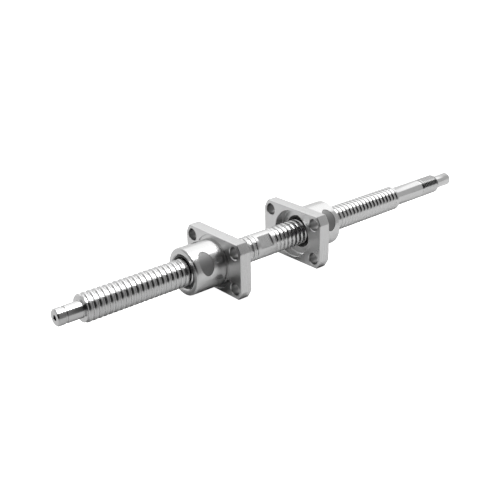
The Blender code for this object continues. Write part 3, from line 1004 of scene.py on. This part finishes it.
def steel(name, look, rough=None, dull_shaded_holes=None):
    """Ground or turned steel: fine tool lines, faint tone changes and uneven polish.

    rough is a mask with the roughness that it adds; in the holes the steel is dull, and painted
    shade darkens its colour.
    """
    shade, roughness, grain, bump = look
    material, tree, shader = new_material(name)
    shader.inputs["Metallic"].default_value = 1.0
    lines = tree.noise(grain, detail=4.0, roughness=0.65)
    patches = tree.noise(PATCH_GRAIN)
    fine = tree.math("MULTIPLY", lines, LINE_SHARE)
    mixed = tree.math("ADD", fine, tree.math("MULTIPLY", patches, PATCH_SHARE))
    colour = tree.tones(mixed, STEEL_TONES, shade)
    polish = tree.spread(mixed, *[roughness * share for share in STEEL_POLISH])
    if rough:
        mask, extra = rough
        polish = tree.math("ADD", polish, tree.math("MULTIPLY", mask(tree), extra))
    if dull_shaded_holes:
        inside = dull_shaded_holes(tree)
        polish = tree.math("ADD", polish, tree.math("MULTIPLY", inside, DRILLED_ROUGHNESS))
        # painted shade: darker colour inside the holes
        colour = tree.scaled(colour, tree.spread(inside, 1.0, HOLE_PAINTED_SHADE))
    tree.link(colour, shader.inputs["Base Color"])
    tree.link(polish, shader.inputs["Roughness"])
    add_bump(tree, shader, lines, bump)
    return material


def moulded(name, look):
    """Matt moulded plastic with a fine grain."""
    shade, roughness, grain, bump = look
    material, tree, shader = new_material(name)
    grains = tree.noise(grain, detail=2.0)
    polish = tree.spread(grains, *[roughness * share for share in PLASTIC_POLISH])
    tree.link(tree.tones(grains, PLASTIC_TONES, shade), shader.inputs["Base Color"])
    tree.link(polish, shader.inputs["Roughness"])
    add_bump(tree, shader, grains, bump)
    return material


# ------------------------------------------------------------------ studio


def direction(azimuth, elevation):
    """Unit vector towards a place in the studio; azimuth 0 is towards -Y, 90 towards +X."""
    a, e = math.radians(azimuth), math.radians(elevation)
    return Vector((math.sin(a) * math.cos(e), -math.cos(a) * math.cos(e), math.sin(e)))


def make_world():
    """A big soft light overhead, grey walls, a bright back and a dark side behind the camera.

    Metal mirrors all of that, while the camera itself sees plain white past the floor.
    """
    world = bpy.data.worlds.new("studio")
    world.use_nodes = True
    bpy.context.scene.world = world
    tree = Nodes(world.node_tree)
    background = world.node_tree.nodes["Background"]
    way = tree.coordinates("Generated")
    parts = tree.add("ShaderNodeSeparateXYZ")
    tree.link(way, parts.inputs["Vector"])

    def lobe(azimuth, elevation, inner, outer, darkest):
        """A factor that falls to darkest towards one direction."""
        near = tree.along(way, direction(azimuth, elevation))
        start, end = math.cos(math.radians(outer)), math.cos(math.radians(inner))
        return tree.eased(near, start, end, 1.0, darkest)

    walls = tree.eased(parts.outputs["Y"], *WALL_TURN, FRONT_WALL, BACK_WALL)
    walls = tree.math("MULTIPLY", walls, lobe(*DARK_SIDE))
    lean = math.radians(OVERHEAD_LEAN)
    front = tree.along(way, (0.0, math.cos(lean), math.sin(lean)))
    front = tree.eased(front, -OVERHEAD_EDGE, OVERHEAD_EDGE, 0.0, 1.0)
    above = tree.eased(parts.outputs["Z"], *OVERHEAD_RISE, 0.0, 1.0)
    overhead = tree.math("MULTIPLY", front, above)
    rest = tree.math("SUBTRACT", 1.0, overhead)
    light = tree.math("MULTIPLY", overhead, OVERHEAD)
    light = tree.math("ADD", light, tree.math("MULTIPLY", walls, rest))
    light = tree.math("MULTIPLY", light, lobe(*DARK_END))
    path = tree.add("ShaderNodeLightPath")
    light = tree.math("MAXIMUM", light, path.outputs["Is Camera Ray"])
    tree.link(light, background.inputs["Strength"])
    background.inputs["Color"].default_value = (1.0, 1.0, 1.0, 1.0)


def make_floor():
    """A white sheet with painted shade: its colour darkens towards the camera. It looks evenly
    lit, and metal mirrors it with its soft shadows and its painted shade.
    """
    low = CAD_BOX[0]
    builder = bmesh.new()
    bmesh.ops.create_grid(
        builder, x_segments=FLOOR_CELLS, y_segments=FLOOR_CELLS, size=FLOOR_SIZE / 2.0
    )
    floor = new_object("floor", mesh_from("floor", builder))
    floor.location = (0.0, 0.0, low.z - FLOOR_GAP)
    material, tree, shader = new_material("floor_paper")
    tone = tree.tones(tree.noise(FLOOR_GRAIN), FLOOR_TONES)
    # painted shade: the floor's colour falls towards the camera, so metal mirrors a dark floor
    # there
    start, end, darkest = FLOOR_PAINTED_SHADE
    diagonal = (-math.sqrt(0.5), -math.sqrt(0.5), 0.0)
    towards_camera = tree.along(tree.coordinates("Object"), diagonal)
    painted_shade = tree.eased(towards_camera, start, end, 1.0, darkest)
    tree.link(tree.scaled(tone, painted_shade), shader.inputs["Base Color"])
    shader.inputs["Roughness"].default_value = FLOOR_ROUGHNESS
    shader.inputs["Emission Color"].default_value = (1.0, 1.0, 1.0, 1.0)
    path = tree.add("ShaderNodeLightPath")
    tree.link(path.outputs["Is Camera Ray"], shader.inputs["Emission Strength"])
    floor.data.materials.append(material)


def make_key_light():
    data = bpy.data.lights.new("key", "AREA")
    data.shape = "RECTANGLE"
    data.size = data.size_y = KEY_SIZE
    data.energy = KEY_POWER
    lamp = new_object("key", data)
    way = direction(KEY_AZIMUTH, KEY_ELEVATION)
    lamp.location = way * KEY_DISTANCE
    lamp.rotation_mode = "QUATERNION"
    lamp.rotation_quaternion = way.to_track_quat("Z", "Y")


def make_camera():
    data = bpy.data.cameras.new("camera")
    data.lens = CAMERA_LENS
    data.sensor_width = CAMERA_SENSOR
    data.clip_start, data.clip_end = CAMERA_CLIP
    camera = new_object("camera", data)
    back = direction(CAMERA_AZIMUTH, CAMERA_ELEVATION)
    turn = back.to_track_quat("Z", "Y").to_matrix().to_4x4()
    turn @= Matrix.Rotation(math.radians(CAMERA_ROLL), 4, "Z")
    camera.matrix_world = Matrix.Translation(CAMERA_PLACE) @ turn
    bpy.context.scene.camera = camera


# ------------------------------------------------------------------ the whole


def main():
    make_camera()
    lands = (ground_lands, LAND_ROUGHNESS)
    flange = (milled_flange, MILLED_ROUGHNESS)
    screw_steel = steel("screw_steel", SCREW_STEEL, lands, centre_holes)
    nut_steel = steel("nut_steel", NUT_STEEL, flange, bolt_holes)
    deflector_steel = steel("deflector_steel", DEFLECTOR_STEEL)
    ball_steel = steel("ball_steel", BALL_STEEL)
    wiper_plastic = moulded("wiper_plastic", WIPER_PLASTIC)

    screw = new_object("screw", screw_mesh())
    paint(screw, screw_steel)
    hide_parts("screw_shaft")
    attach(screw, "screw")

    outer = (SEAT_DEPTH - WIPER_WIDTH) / 2.0
    inner = NUT_LENGTH - COUNTERBORE_DEPTH - (SEAT_DEPTH + WIPER_WIDTH) / 2.0
    for side in SIDES:
        nut = Nut(side)
        make_nut(nut, nut_steel)
        make_wiper(nut, "outer_wiper", outer, wiper_plastic)
        make_wiper(nut, "inner_wiper", inner, wiper_plastic)
        for circuit in range(CIRCUITS):
            make_deflector(nut, circuit, deflector_steel)
            make_balls(nut, circuit, ball_steel)

    make_world()
    make_floor()
    make_key_light()
    bpy.context.scene.view_settings.view_transform = "Standard"


main()
